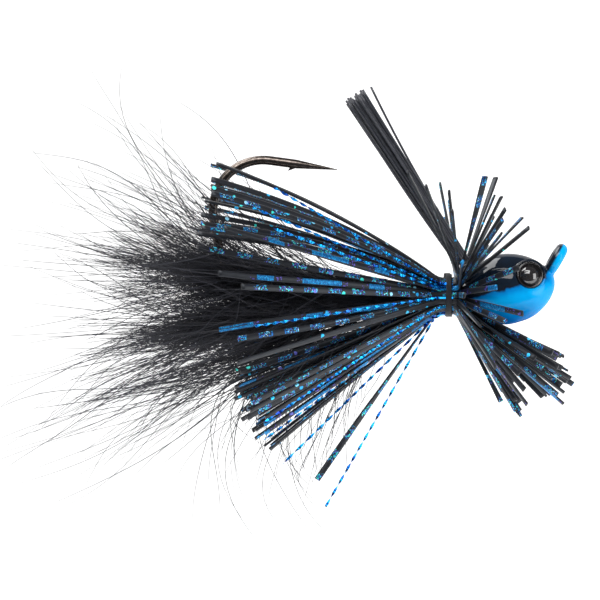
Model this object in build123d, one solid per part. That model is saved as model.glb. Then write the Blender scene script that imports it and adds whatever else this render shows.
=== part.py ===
from build123d import *
import os
from collections import namedtuple
from math import cos, radians, sin, tan

# A skirted finesse jig head: a lead head cast round a 60 degree jig hook, moulded eyes, a brush
# weed guard, a silicone skirt and a hair tail. It is laid out in millimetres with +X to the nose
# and +Z to the hook point, from the middle of the skirt's binding on the shank axis. Every solid
# is moved at the end, so that the origin is the middle of the line tie's hole.

# ------------------------------------------------------------------ hook
WIRE_D = 1.1
WIRE_R = WIRE_D / 2
TIE_X, TIE_Z = 12.95, 4.3          # middle of the line tie's hole
TIE_ANGLE = 60.0                   # leg of the line tie above the shank
TIE_RING_R = 1.3                   # middle of the hole to the middle of the wire
TIE_BORE_R = 0.8                   # flat land pressed inside the hole
TIE_BEND_R = 1.8
SHANK_END_X = -20.2                # where the round bend starts
LOWER_BEND_R, LOWER_BEND_TURN = 7.5, 80.0
SIDE_RUN = 3.0                     # near-straight side between the two bends
UPPER_BEND_R = 6.0
POINT_SLOPE = 7.7                  # the point dips towards the shank
POINT_RUN = 3.2                    # full wire between the bend and the taper
POINT_TAPER = 5.0
POINT_TIP_R = 0.04
BARB_BACK, BARB_DROP, BARB_THICK = 1.9, 0.42, 0.3
BARB_FROM_TIP = 4.0                # the barb's root, measured back from the needle tip

# ------------------------------------------------------------------ head
Station = namedtuple("Station", "x top bottom half_width")
HEAD_STATIONS = (
    Station(0.9, 1.30, -1.30, 1.30),
    Station(1.9, 1.60, -1.50, 1.50),
    Station(3.0, 2.75, -1.95, 2.10),
    Station(4.5, 4.25, -2.85, 2.95),
    Station(6.5, 4.95, -3.53, 3.40),
    Station(8.5, 4.88, -3.25, 3.30),
    Station(10.1, 4.40, -2.62, 2.90),
    Station(11.3, 3.70, -1.68, 2.30),
    Station(12.1, 3.05, -0.70, 1.65),
    Station(12.6, 2.42, 0.30, 0.90),
)
NOSE_X, NOSE_Z = 12.8, 1.4
COLLAR_R = 1.3
COLLAR_BACK_X = -1.2               # the lead collar runs back under the skirt's binding
COLLAR_CHAMFER = 0.25

# ------------------------------------------------------------------ eyes
EYE_X, EYE_Y, EYE_Z = 9.65, 2.55, 2.4   # middle of the eye on the head's side
EYE_LEAN_X, EYE_LEAN_Z = 0.14, 0.2      # the eyes look a little forward and up
SOCKET_D, SOCKET_DEPTH = 3.5, 0.55
FOIL_D, FOIL_T = 3.2, 0.12
DOME_D, DOME_H = 3.2, 0.9

# ------------------------------------------------------------------ weed guard
GUARD_X, GUARD_Z = 2.0, 3.6        # where the brush leaves the head
GUARD_ANGLE = 57.0                 # brush above the rearward direction
GUARD_PLUG_D, GUARD_PLUG_L = 2.0, 2.6
GUARD_BOSS_D = 2.7
GUARD_RISE = 0.35                  # room under the fibres for their tilt
GUARD_LENGTH = 24.6
FIBRE_D = 0.28
FIBRE_RINGS = 3                    # rings of fibres round the middle one
FIBRE_PITCH_ROOT, FIBRE_PITCH_TIP = 0.29, 0.41
FIBRE_LENGTH_STEP = 0.35           # the fibres end at five heights, half of this apart

# ------------------------------------------------------------------ skirt
STRAND_W, STRAND_T = 0.7, 0.28
BINDING_HALF = 0.5
REAR_BEND_CENTRE_R = 4.0           # the layers bend round one circle, so they stay apart
FRONT_BEND_CENTRE_R = 2.9
# top_gap is half of the sector at the top that is left open for the guard and the hook
Layer = namedtuple(
    "Layer", "name radius count top_gap rear_tilt front_tilt front_rise front_length"
)
LAYERS = (
    Layer("inner", 1.35, 10, 44.0, 24.0, 32.0, 22.0, 15.0),
    Layer("middle", 1.68, 13, 36.0, 30.0, 42.0, 34.0, 15.0),
    Layer("outer", 2.01, 16, 30.0, 36.0, 57.0, 48.0, 13.2),
)
REAR_LENGTH, REAR_LENGTH_TOP = 25.5, 6.5
REAR_FLARE_TOP, REAR_CURL_TOP, REAR_STRAIGHT_EXTRA = 6.0, 16.0, 2.0
FRONT_SIDE_SHORTER, FRONT_SIDE_RISE = 6.0, 18.0
# How far strands differ from each other: degrees of tilt and millimetres of length
REAR_TILT_SCATTER, REAR_TILT_FINE_SCATTER, REAR_LENGTH_SCATTER = 1.0, 0.4, 1.3
FRONT_TILT_SCATTER, FRONT_LENGTH_SCATTER = 2.5, 1.8
STRAIGHT_BELOW = 1.0               # a curl of less than this many degrees is left straight
KINDS = ("plain", "scale", "foil", "scale")
STRAY_TILT = {("outer", 7): 18.0}  # one long strand hangs well below the others

# ------------------------------------------------------------------ flash tinsel
FLASH_W, FLASH_T = 0.5, 0.08
FLASH_RADIUS = 2.34
Flash = namedtuple("Flash", "azimuth tilt length")
FLASH_STRANDS = (
    Flash(64.0, 42.0, 29.0),
    Flash(98.0, 44.0, 29.5),
    Flash(127.0, 46.0, 29.0),
    Flash(152.0, 47.0, 26.5),
    Flash(176.0, 60.0, 25.6),
    Flash(205.0, 39.0, 26.5),
    Flash(242.0, 46.0, 29.0),
    Flash(296.0, 42.0, 28.5),
)

# ------------------------------------------------------------------ thread bindings
THREAD_R = 0.1
SKIRT_BINDING_R_IN, SKIRT_BINDING_R_OUT = 2.45, 2.55
TAIL_BINDING_R_IN, TAIL_BINDING_R_OUT = 1.57, 1.68
TAIL_BINDING_X = -2.8
SKIRT_WRAPS, TAIL_WRAPS = 5, 4

# ------------------------------------------------------------------ hair tail
PLUME_START_X = -2.0
PLUME_ROOT_OFFSET, PLUME_ROOT_R = 0.8, 0.24
PLUME_WIDEST_AT, PLUME_WIDEST_R = 32.0, 2.3
PLUME_LENGTH, PLUME_TIP_R = 47.0, 0.3
PLUMES = {
    "upper_near": (60.0, 8.5),
    "lower_near": (125.0, 14.0),
    "bottom": (180.0, 18.0),
    "lower_far": (235.0, 14.0),
    "upper_far": (300.0, 8.5),
}


def heading(angle):
    """Unit vector in a flat drawing, in degrees anticlockwise from its first axis."""
    return Vector(cos(radians(angle)), sin(radians(angle)))


def chain(start, angle, steps):
    """Edges drawn on from start: each step is (length,) for a line or (radius, turn) for an arc."""
    edges = []
    for step in steps:
        if len(step) == 1:
            edge = Line(start, start + heading(angle) * step[0])
        else:
            radius, turn = step
            edge = JernArc(start=start, tangent=heading(angle), radius=radius, arc_size=turn)
            angle += turn
        edges.append(edge)
        start = edge @ 1
    return edges, start, angle


def make_hook():
    """Round-bend hook in one wire, with its ring edge on to the bend's plane."""
    tie = Vector(TIE_X, TIE_Z)
    leg_top = tie - heading(TIE_ANGLE) * TIE_RING_R
    corner_x = leg_top.X - leg_top.Y / tan(radians(TIE_ANGLE))
    trim = TIE_BEND_R * tan(radians(TIE_ANGLE / 2))
    leg = leg_top.Y / sin(radians(TIE_ANGLE)) - trim
    shank = corner_x - trim - SHANK_END_X
    upper_turn = 180.0 - LOWER_BEND_TURN + POINT_SLOPE
    edges, needle_start, needle_angle = chain(
        leg_top,
        TIE_ANGLE + 180.0,
        [
            (leg,),
            (TIE_BEND_R, -TIE_ANGLE),
            (shank,),
            (LOWER_BEND_R, -LOWER_BEND_TURN),
            (SIDE_RUN,),
            (UPPER_BEND_R, -upper_turn),
            (POINT_RUN,),
        ],
    )
    path = Plane.XZ * Wire(edges)
    wire = sweep(Plane(origin=path @ 0, z_dir=path % 0) * Circle(WIRE_R), path=path)

    tie_plane = Plane(
        origin=(TIE_X, 0, TIE_Z),
        x_dir=(0, 1, 0),
        z_dir=(sin(radians(TIE_ANGLE)), 0, -cos(radians(TIE_ANGLE))),
    )
    ring = tie_plane * (Torus(TIE_RING_R, WIRE_R) - Cylinder(TIE_BORE_R, WIRE_D * 2))
    wire -= tie_plane * Cylinder(TIE_BORE_R, WIRE_D * 2)

    aim = heading(needle_angle)
    needle_plane = Plane(
        origin=(needle_start.X, 0, needle_start.Y), x_dir=(0, 1, 0), z_dir=(aim.X, 0, aim.Y)
    )
    needle = needle_plane * Cone(
        WIRE_R, POINT_TIP_R, POINT_TAPER, align=(Align.CENTER, Align.CENTER, Align.MIN)
    )
    root = needle_start + aim * (POINT_TAPER - BARB_FROM_TIP)
    inward = Vector(aim.Y, -aim.X)
    outline = Polyline(
        root,
        root - aim * BARB_BACK + inward * (WIRE_R + BARB_DROP),
        root - aim * (BARB_BACK - BARB_THICK) + inward * (WIRE_R / 2),
        close=True,
    )
    barb = extrude(Plane.XZ * make_face(outline), BARB_THICK / 2, both=True)
    return wire + ring + needle + barb


def guard_axis():
    """Plane at the brush's mouth in the head, its normal up the brush."""
    up = Vector(-cos(radians(GUARD_ANGLE)), 0, sin(radians(GUARD_ANGLE)))
    return Plane(origin=(GUARD_X, 0, GUARD_Z), x_dir=(0, 1, 0), z_dir=up)


def eye_plane(side):
    """Plane of one eye, its normal out of the head. side is -1 for -Y and 1 for +Y."""
    return Plane(
        origin=(EYE_X, side * EYE_Y, EYE_Z), x_dir=(0, 0, 1), z_dir=(EYE_LEAN_X, side, EYE_LEAN_Z)
    )


def make_head(hook):
    """Lead casting: rounded body, guard boss and collar, with the hook's channel and sockets."""
    sections = []
    for station in HEAD_STATIONS:
        middle = (station.top + station.bottom) / 2
        plane = Plane(origin=(station.x, 0, middle), x_dir=(0, 1, 0), z_dir=(1, 0, 0))
        sections.append(
            plane * Ellipse(station.half_width, (station.top - station.bottom) / 2)
        )
    body = loft(sections + [Vertex(NOSE_X, 0, NOSE_Z)])

    collar_length = HEAD_STATIONS[0].x - COLLAR_BACK_X
    collar_plane = Plane(origin=(COLLAR_BACK_X, 0, 0), z_dir=(1, 0, 0))
    collar = Cylinder(
        COLLAR_R, collar_length, align=(Align.CENTER, Align.CENTER, Align.MIN)
    )
    collar = collar_plane * chamfer(collar.edges().sort_by(Axis.Z)[0], COLLAR_CHAMFER)

    boss = Cylinder(
        GUARD_BOSS_D / 2, GUARD_PLUG_L, align=(Align.CENTER, Align.CENTER, Align.MAX)
    )
    socket = Cylinder(
        GUARD_PLUG_D / 2, GUARD_PLUG_L, align=(Align.CENTER, Align.CENTER, Align.MAX)
    )
    head = body + collar + guard_axis() * boss
    head -= guard_axis() * socket
    for side in (-1, 1):
        head -= eye_plane(side) * Cylinder(
            SOCKET_D / 2, SOCKET_DEPTH * 4, align=(Align.CENTER, Align.CENTER, Align.MIN)
        ).moved(Location((0, 0, -SOCKET_DEPTH)))
    return head - hook


def make_eye(side):
    """Printed foil disc at the bottom of the socket and the clear dome moulded on it."""
    foil = Cylinder(FOIL_D / 2, FOIL_T, align=(Align.CENTER, Align.CENTER, Align.MIN))
    ball_r = ((DOME_D / 2) ** 2 + DOME_H**2) / (2 * DOME_H)
    cap = Sphere(ball_r).moved(Location((0, 0, DOME_H - ball_r)))
    keep = Cylinder(DOME_D / 2 + 1, DOME_H, align=(Align.CENTER, Align.CENTER, Align.MIN))
    dome = (cap & keep).moved(Location((0, 0, FOIL_T)))
    seat = eye_plane(side).offset(-SOCKET_DEPTH)
    return seat * foil, seat * dome


def make_guard():
    """Bonded butt in the head, and the brush of round fibres in a hexagonal pack above it."""
    plug = guard_axis() * Cylinder(
        GUARD_PLUG_D / 2, GUARD_PLUG_L, align=(Align.CENTER, Align.CENTER, Align.MAX)
    )
    spots = [(0.0, 0.0)]
    for ring in range(1, FIBRE_RINGS + 1):
        for corner in range(6):
            start = heading(60 * corner) * ring
            step = heading(60 * corner + 120)
            spots += [(start.X + step.X * k, start.Y + step.Y * k) for k in range(ring)]
    fibres = []
    for index, (u, v) in enumerate(spots):
        foot = Vector(u, v, 0) * FIBRE_PITCH_ROOT + Vector(0, 0, GUARD_RISE)
        length = GUARD_LENGTH - FIBRE_LENGTH_STEP * (index * 7 % 5) / 2
        tip = Vector(u, v, 0) * FIBRE_PITCH_TIP + Vector(0, 0, length)
        run = tip - foot
        fibre = Cylinder(
            FIBRE_D / 2, run.length, align=(Align.CENTER, Align.CENTER, Align.MIN)
        )
        fibres.append(guard_axis() * (Plane(origin=foot, z_dir=run) * fibre))
    return plug, fibres


def spread(index, step):
    """Even scatter between -1 and 1 for strand number index. step is any fraction slow to repeat."""
    return 2 * ((index * step) % 1.0) - 1


def ribbon(radius, azimuth, width, thickness, ahead, behind):
    """Flat strand through the binding, in the plane at azimuth degrees from +Z towards -Y.

    ahead and behind are each (tilt, run): the bend away from the shank, then a chain() step.
    A strand that is cut flush in front of the binding has None ahead.
    """
    middle = radius + thickness / 2
    tilt, run = behind
    bend = (REAR_BEND_CENTRE_R - middle, -tilt)
    edges, _, _ = chain(Vector(-BINDING_HALF, middle), 180.0, [bend, run])
    edges.append(Line((-BINDING_HALF, middle), (BINDING_HALF, middle)))
    if ahead:
        tilt, run = ahead
        bend = (FRONT_BEND_CENTRE_R - middle, tilt)
        edges += chain(Vector(BINDING_HALF, middle), 0.0, [bend, run])[0]
    path = Plane.XZ * Wire(edges)
    section = Plane(origin=path @ 0, x_dir=(0, 1, 0), z_dir=path % 0) * Rectangle(width, thickness)
    return Rot(azimuth, 0, 0) * sweep(section, path=path)


def make_strand(layer, index):
    """One silicone strand: short end flared forward, long end flared back."""
    azimuth = layer.top_gap + index * (360 - 2 * layer.top_gap) / (layer.count - 1)
    upward = (1 + cos(radians(azimuth))) / 2
    sideways = sin(radians(azimuth)) ** 4
    wander = REAR_TILT_SCATTER * spread(index, 0.618)
    wander += REAR_TILT_FINE_SCATTER * spread(index, 0.37)
    wander += STRAY_TILT.get((layer.name, index), 0.0)
    flare = layer.rear_tilt + REAR_FLARE_TOP * upward + wander
    curl = (REAR_FLARE_TOP + REAR_CURL_TOP) * upward - REAR_STRAIGHT_EXTRA
    length = REAR_LENGTH + REAR_LENGTH_TOP * upward
    length += REAR_LENGTH_SCATTER * spread(index, 0.71)
    straight = abs(curl) < STRAIGHT_BELOW
    rear_run = (length,) if straight else (length / abs(radians(curl)), curl)
    front_tilt = layer.front_tilt + layer.front_rise * upward**2
    front_tilt += FRONT_SIDE_RISE * sideways + FRONT_TILT_SCATTER * spread(index, 0.55)
    front_length = layer.front_length - FRONT_SIDE_SHORTER * sideways
    front_length += FRONT_LENGTH_SCATTER * spread(index, 0.83)
    return ribbon(
        layer.radius,
        azimuth,
        STRAND_W,
        STRAND_T,
        ahead=(front_tilt, (front_length,)),
        behind=(flare, rear_run),
    )


def make_flash(flash):
    """One strand of flat tinsel, cut flush in front of the binding."""
    return ribbon(
        FLASH_RADIUS,
        flash.azimuth,
        FLASH_W,
        FLASH_T,
        ahead=None,
        behind=(flash.tilt, (flash.length,)),
    )


def make_binding(middle_x, inner_r, outer_r, wraps):
    """Thread wound tight: a sleeve whose outside shows one rib for each wrap."""
    left = middle_x - wraps * THREAD_R
    edges = [
        Line((left, outer_r), (left, inner_r)),
        Line((left, inner_r), (left + 2 * wraps * THREAD_R, inner_r)),
        Line((left + 2 * wraps * THREAD_R, inner_r), (left + 2 * wraps * THREAD_R, outer_r)),
    ]
    for wrap in range(wraps):
        start = left + 2 * wrap * THREAD_R
        crown = (start + THREAD_R, outer_r + THREAD_R)
        edges.append(ThreePointArc((start, outer_r), crown, (start + 2 * THREAD_R, outer_r)))
    return revolve(Plane.XZ * make_face(edges), Axis.X)


def make_plume(azimuth, tilt):
    """Spindle that fills the space of one bunch of hair."""
    outline = Polyline(
        (0, 0),
        (0, PLUME_ROOT_R),
        (PLUME_WIDEST_AT, PLUME_WIDEST_R),
        (PLUME_LENGTH, PLUME_TIP_R),
        (PLUME_LENGTH, 0),
        close=True,
    )
    spindle = revolve(make_face(outline), Axis.X)
    laid = Location((PLUME_START_X, 0, PLUME_ROOT_OFFSET)) * Rot(0, 180 + tilt, 0) * spindle
    return Rot(azimuth, 0, 0) * laid


def save(name, solids):
    """Writes one node, moved so that the line tie's middle is the origin."""
    shape = solids if isinstance(solids, list) else [solids]
    moved = [Location((-TIE_X, 0, -TIE_Z)) * solid for solid in shape]
    export_step(moved[0] if len(moved) == 1 else Compound(children=moved), f"parts/{name}.step")


def main():
    os.makedirs("parts", exist_ok=True)
    hook = make_hook()
    save("hook", hook)
    save("head_casting", make_head(hook))
    for name, side in (("near", -1), ("far", 1)):
        foil, dome = make_eye(side)
        save(f"eye_foil_{name}", foil)
        save(f"eye_dome_{name}", dome)
    plug, fibres = make_guard()
    save("guard_butt", plug)
    save("guard_fibres", fibres)
    for layer in LAYERS:
        groups = {}
        for index in range(layer.count):
            kind = KINDS[index % len(KINDS)]
            groups.setdefault(kind, []).append(make_strand(layer, index))
        for kind, strands in groups.items():
            save(f"strands_{kind}_{layer.name}", strands)
    save("flash_near", [make_flash(flash) for flash in FLASH_STRANDS if flash.azimuth < 180])
    save("flash_far", [make_flash(flash) for flash in FLASH_STRANDS if flash.azimuth >= 180])
    save(
        "skirt_binding",
        make_binding(0.0, SKIRT_BINDING_R_IN, SKIRT_BINDING_R_OUT, SKIRT_WRAPS),
    )
    save(
        "tail_binding",
        make_binding(TAIL_BINDING_X, TAIL_BINDING_R_IN, TAIL_BINDING_R_OUT, TAIL_WRAPS),
    )
    for name, (azimuth, tilt) in PLUMES.items():
        save(f"tail_plume_{name}", make_plume(azimuth, tilt))


main()
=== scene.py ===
import math

import bmesh
import bpy
import numpy as np
from mathutils import Matrix, Vector


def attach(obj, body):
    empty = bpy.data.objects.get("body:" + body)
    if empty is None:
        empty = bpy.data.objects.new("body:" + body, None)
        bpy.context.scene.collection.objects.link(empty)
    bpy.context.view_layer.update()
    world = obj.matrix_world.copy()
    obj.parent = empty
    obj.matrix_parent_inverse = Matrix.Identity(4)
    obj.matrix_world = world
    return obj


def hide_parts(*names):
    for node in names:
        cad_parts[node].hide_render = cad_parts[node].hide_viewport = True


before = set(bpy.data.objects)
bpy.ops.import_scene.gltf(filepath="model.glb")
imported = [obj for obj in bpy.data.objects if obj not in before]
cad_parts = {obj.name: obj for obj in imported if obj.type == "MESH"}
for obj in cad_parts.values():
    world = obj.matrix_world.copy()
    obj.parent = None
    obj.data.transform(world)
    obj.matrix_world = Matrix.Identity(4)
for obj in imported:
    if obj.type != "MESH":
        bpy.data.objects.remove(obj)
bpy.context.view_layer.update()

# Shapes are laid out in millimetres in the collar's frame, as the CAD model is: X along the
# shank to the nose, Z to the hook point, from the middle of the skirt's binding. place() moves
# them to the row's frame, in metres, whose origin is the middle of the line tie's hole.
MM = 0.001
TIE = np.array([12.95, 0.0, 4.3])

# ---------------------------------------------------------------- sizes shared with the CAD model
WIRE_R = 0.55
TIE_ANGLE = 60.0
TIE_RING_R = 1.3
TIE_BEND_R = 1.8
SHANK_END_X = -20.2
LOWER_BEND_R, LOWER_BEND_TURN = 7.5, 80.0
SIDE_RUN = 3.0
UPPER_BEND_R = 6.0
POINT_SLOPE = 7.7
POINT_RUN = 3.2

EYE = np.array([9.65, 2.55, 2.4])
EYE_AXIS = np.array([0.14, 1.0, 0.2])
SOCKET_R, SOCKET_DEPTH = 1.75, 0.55
FOIL_T = 0.12
DOME_R, DOME_H = 1.6, 0.9

GUARD_FOOT = np.array([2.0, 0.0, 3.6])
GUARD_ANGLE = 57.0
GUARD_RISE, GUARD_LENGTH = 0.35, 24.6
FIBRE_R, FIBRE_RINGS = 0.14, 3
FIBRE_PITCH_ROOT, FIBRE_PITCH_TIP = 0.29, 0.41
FIBRE_LENGTH_STEP = 0.35

STRAND_W, STRAND_T = 0.7, 0.28
BINDING_HALF = 0.5
REAR_BEND_CENTRE_R, FRONT_BEND_CENTRE_R = 4.0, 2.9
# name: radius, count, gap at the top, rear tilt, front tilt, front rise, front length
LAYERS = {
    "inner": (1.35, 10, 44.0, 24.0, 32.0, 22.0, 15.0),
    "middle": (1.68, 13, 36.0, 30.0, 42.0, 34.0, 15.0),
    "outer": (2.01, 16, 30.0, 36.0, 57.0, 48.0, 13.2),
}
REAR_LENGTH, REAR_LENGTH_TOP = 25.5, 6.5
REAR_FLARE_TOP, REAR_CURL_TOP, REAR_STRAIGHT_EXTRA = 6.0, 16.0, 2.0
FRONT_SIDE_SHORTER, FRONT_SIDE_RISE = 6.0, 18.0
REAR_TILT_SCATTER, REAR_TILT_FINE_SCATTER, REAR_LENGTH_SCATTER = 1.0, 0.4, 1.3
FRONT_TILT_SCATTER, FRONT_LENGTH_SCATTER = 2.5, 1.8
STRAIGHT_BELOW = 1.0
KINDS = ("plain", "scale", "foil", "scale")
STRAY_TILT = {("outer", 7): 18.0}

FLASH_T, FLASH_RADIUS = 0.08, 2.34
# azimuth, tilt, length
FLASH_STRANDS = (
    (64.0, 42.0, 29.0),
    (98.0, 44.0, 29.5),
    (127.0, 46.0, 29.0),
    (152.0, 47.0, 26.5),
    (176.0, 60.0, 25.6),
    (205.0, 39.0, 26.5),
    (242.0, 46.0, 29.0),
    (296.0, 42.0, 28.5),
)

PLUME_START_X, PLUME_ROOT_OFFSET = -2.0, 0.8
# name: azimuth, tilt
PLUMES = {
    "upper_near": (60.0, 8.5),
    "lower_near": (125.0, 14.0),
    "bottom": (180.0, 18.0),
    "lower_far": (235.0, 14.0),
    "upper_far": (300.0, 8.5),
}

# ---------------------------------------------------------------- looks
PAINTED_WIRE_R = 0.74               # the line tie under its paint
CAST_WIRE_R = WIRE_R + 0.05         # the wire inside the casting
COAT_FROM_Z, COAT_OVER = 1.0, 1.2   # height over which the coat grows to its full thickness
SHANK_IN_HEAD_X = -1.0              # the wire is cast in from here on
RIM_R, RIM_OUT = 0.15, 0.06         # paint beaded round the eye sockets
SKIN_VOXEL, SKIN_SMOOTHING = 0.085, 7
TORUS_SIDES = (96, 24)              # round the ring and round its wire
DOME_SIDES, ROD_SIDES, HAIR_SIDES = 64, 8, 3
BORDER_SLOPE = 0.285                # edge between the black back and the blue belly
BORDER_OFFSET = -1.4 + BORDER_SLOPE * TIE[0] - TIE[2]
NOSE_BLUE_X = 11.7 - TIE[0]
# Painted shade: between these heights the blue belly darkens towards the underside of the head
UNDERSIDE_SHADE_LOW, UNDERSIDE_SHADE_HIGH = -3.6 - TIE[2], -0.6 - TIE[2]
TINSEL_W, TINSEL_HALF_T = 0.32, 0.012
TINSEL_HALF_TURN = 1.45             # length of half a turn of its twist
TINSEL_TWIST_FROM = 0.05            # part of its length that lies flat
TINSEL_SWAY = 0.9
TINSEL_UNEVEN = 0.8                 # radians by which the twist runs ahead or lags
# More tinsel beside each strand over the shank, at these azimuths from it
TINSEL_PARTNERS = (-8.0, 7.0)
PARTNER_TILT, PARTNER_SHORTER = 3.0, 2.0
PARTNER_OVER_COSINE = 0.2
THREAD_R = 0.10
# Layers of thread over the skirt: radius, turns and how far they cross
THREAD_LAYERS = ((2.45, 5.0, 0.05), (2.55, 4.6, -0.08))
THREAD_HALF_WIDTH, THREAD_UNEVEN = 0.31, 0.02
STRAND_STATIONS, TINSEL_STATIONS = 84, 300
# Extra strands lie between those of the CAD model, over and under the shank. One lies in each gap
# where the sine of the azimuth is below the first limit, and three where it is below the second.
COMPANION_KINDS = ("foil", "plain", "scale", "plain", "scale")
COMPANION_LIMIT, COMPANION_THREE_LIMIT = 0.85, 0.75
COMPANION_SIDE_SHORTER = 3.0
COMPANION_WANDER = 2.6              # they stray more than the strands of the CAD model
SWAY, TWIST = 0.75, 0.55            # how far a strand's end wanders sideways and turns
SWAY_LIMIT = 1.5 * SWAY
FORE_TWIST = 1.8                    # the short front ends turn more
# Where sway and twist begin, and the length over which they grow, behind and before the binding
BACK_FROM, BACK_OVER = 2.5, 26.0
FORE_FROM, FORE_OVER, FORE_BACK_X = 4.0, 13.0, -2.0
# Long front ends by the guard: degrees further back, and millimetres longer
FORE_LEAN = {("outer", 0.25): (20.0, 4.6), ("outer", 0.75): (11.0, 4.0), ("outer", 0.5): (-14.0, 4.2)}
STRAY_TWIST, STRAY_SHORTER = 5.0, 3.0
# Strands gather towards the middle of each clump: azimuth, half width and pull at the tip
CLUMPS = ((58.0, 26.0, 1.7), (146.0, 34.0, 1.6), (214.0, 34.0, 1.6), (302.0, 26.0, 1.7))
CLUMP_REACH = 1.6                   # a clump draws strands from this many half widths away
FIBRE_UNEVEN, FIBRE_BOW, FIBRE_LEAN = 0.6, 0.12, 0.22
STRAY_FIBRE, STRAY_FIBRE_LEAN = 24, 1.3
EYE_LIP, EYE_LIP_H, EYE_LIP_CROWN = 0.22, 0.42, 0.10    # width and height of the dome's lip

TAIL_END_X = -56.0                  # no hair reaches further back
SIDE_HAIR_SHORTER = 0.22            # part of its length that a hair growing sideways lacks
STEM_SHARE = 0.7                    # part of the stem's tilt that its hairs have
ROOT_SPREAD = 0.16                  # how far from the stem its first hairs start
LOCK_SCATTER = 0.5                  # millimetres along the stem between hairs of one lock
HAIR_TURN = 10.0                    # degrees of azimuth by which they differ
FLARE_SCATTER = 0.07                # and the part of the full flare
FLARE_AT_ROOT = 0.45                # part of the flare that the stem's first hairs end with
FLARED_SHORTER = 0.15
HAIR_WAVES = 6.0                    # radians of its own wave along a hair
HAIR_THICKNESS = (0.7, 1.2)         # from thinnest to thickest, times the radius of its kind
HAIR_TIP_THINNER = 0.6
WIRE_SEARCH, WIRE_CLEAR = 0.1, 0.06
# Hair of each kind, for each of the five bunches: underfur, locks and long single hairs. Angles
# are in degrees and lengths in mm. They grow from the part of the stem that along gives, more of
# them near its end as bias falls, and turn from the tilt start to the tilt end. around is how far
# they spread round the stem, and few of them reach the full tilt if flare_power is high. lock is
# the number of hairs that grow together and gather how far they close up at its tip, loose is how
# far they stray from the stem per mm, inward draws some of them towards the middle of the tail,
# and droop is the part of the locks that rise first and then flatten.
HAIR_KINDS = (
    dict(count=1500, lock=8, gather=0.5, stations=9, bias=0.85, around=80, flare_power=1.0, start=12,
         end=38, wave=6, length=(5, 11), radius=0.036, along=(0.0, 25.0), loose=0.07, inward=0.6),
    dict(count=340, lock=14, gather=0.7, stations=14, bias=0.7, around=55, flare_power=1.3, start=18,
         end=52, wave=9, length=(12, 22), radius=0.031, along=(8.0, 27.0), loose=0.05, droop=0.3),
    dict(count=110, lock=1, gather=0.0, stations=24, bias=0.7, around=50, flare_power=0.6, start=32,
         end=88, wave=9, length=(20, 38), radius=0.057, along=(8.0, 26.0), loose=0.05, droop=0.45),
)
# The lower bunches are thinner than the two upper ones, and flare less: share and flare of each
BUNCHES = {
    "upper_near": (1.2, 1.0),
    "lower_near": (1.0, 0.65),
    "bottom": (0.5, 0.5),
    "lower_far": (0.8, 0.65),
    "upper_far": (1.2, 1.0),
}
# Loose hairs: some hang below the skirt from the lowest bunch, a few stand up by the hook's bend
LOOSE_HAIRS = {
    "bottom": dict(count=96, lock=3, gather=0.3, stations=24, bias=0.8, around=30, flare_power=0.3,
                   start=48, end=135, wave=14, length=(17, 32), radius=0.056, along=(3.0, 21.0),
                   loose=0.05),
    "upper_near": dict(count=12, lock=2, gather=0.0, stations=24, bias=0.8, around=40,
                       flare_power=0.3, start=60, end=105, wave=7, length=(14, 24), radius=0.035,
                       along=(16.0, 24.0), loose=0.05),
}

# ---------------------------------------------------------------- camera and studio
VIEW_WIDTH = 72.0                   # millimetres across the square frame
VIEW_MIDDLE = np.array([-17.76, 0.0, -0.6])
CAMERA_LENS, CAMERA_SENSOR = 200.0, 36.0
FLOOR_Z, FLOOR_FRONT_Y = -62.0, -70.0
SWEEP_BEND_Y, SWEEP_BEND_R = 500.0, 200.0
SWEEP_TOP_Z, SWEEP_HALF_WIDTH = 1200.0, 1500.0
WORLD_LIGHT = 0.16
SWEEP_GLOW = 0.65
LIGHT_MIDDLE = VIEW_MIDDLE + [14.0, 0.0, 0.0]
# name: place from LIGHT_MIDDLE, size and power
SOFT_BOXES = {
    "key_box": ((-60.0, -240.0, 250.0), (300.0, 200.0), 1.15),
    "side_box": ((280.0, -160.0, 10.0), (160.0, 260.0), 0.55),
    "top_box": ((-160.0, 60.0, 320.0), (300.0, 200.0), 1.2),
}

random = np.random.default_rng(7)


# ---------------------------------------------------------------- geometry helpers
def place(points):
    """Collar frame in millimetres to row frame in metres."""
    return (np.asarray(points, float) - TIE) * MM


def unit(vectors):
    return vectors / np.linalg.norm(vectors, axis=-1, keepdims=True)


def walk(start, angle, steps, spacing=0.4):
    """Points along a flat drawing: each step is (length,) for a line or (radius, turn)."""
    points = [np.array(start, float)]
    for step in steps:
        if len(step) == 1:
            count = max(1, math.ceil(step[0] / spacing))
            turns = np.zeros(count)
            chords = np.full(count, step[0] / count)
        else:
            radius, turn = step
            count = max(4, math.ceil(radius * abs(math.radians(turn)) / spacing))
            turns = np.full(count, turn / count)
            chords = np.full(count, 2 * radius * math.sin(math.radians(abs(turn) / count / 2)))
        for turned, chord in zip(turns, chords):
            half = math.radians(angle + turned / 2)
            points.append(points[-1] + chord * np.array([math.cos(half), math.sin(half)]))
            angle += turned
    return np.array(points), angle


def resample(points, count):
    """The same line with evenly spaced points."""
    lengths = np.concatenate([[0], np.cumsum(np.linalg.norm(np.diff(points, axis=0), axis=1))])
    at = np.linspace(0, lengths[-1], count)
    return np.stack([np.interp(at, lengths, points[:, k]) for k in range(points.shape[1])], 1)


def radial(flat, azimuth):
    """Points (x, r) laid in the plane at azimuth degrees from +Z towards -Y."""
    a = math.radians(azimuth)
    return np.stack([flat[:, 0], -flat[:, 1] * math.sin(a), flat[:, 1] * math.cos(a)], 1)


def tangents(paths):
    ends = np.concatenate([paths[:, 1:2] - paths[:, :1], paths[:, 2:] - paths[:, :-2],
                           paths[:, -1:] - paths[:, -2:-1]], axis=1)
    return unit(ends)


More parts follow.
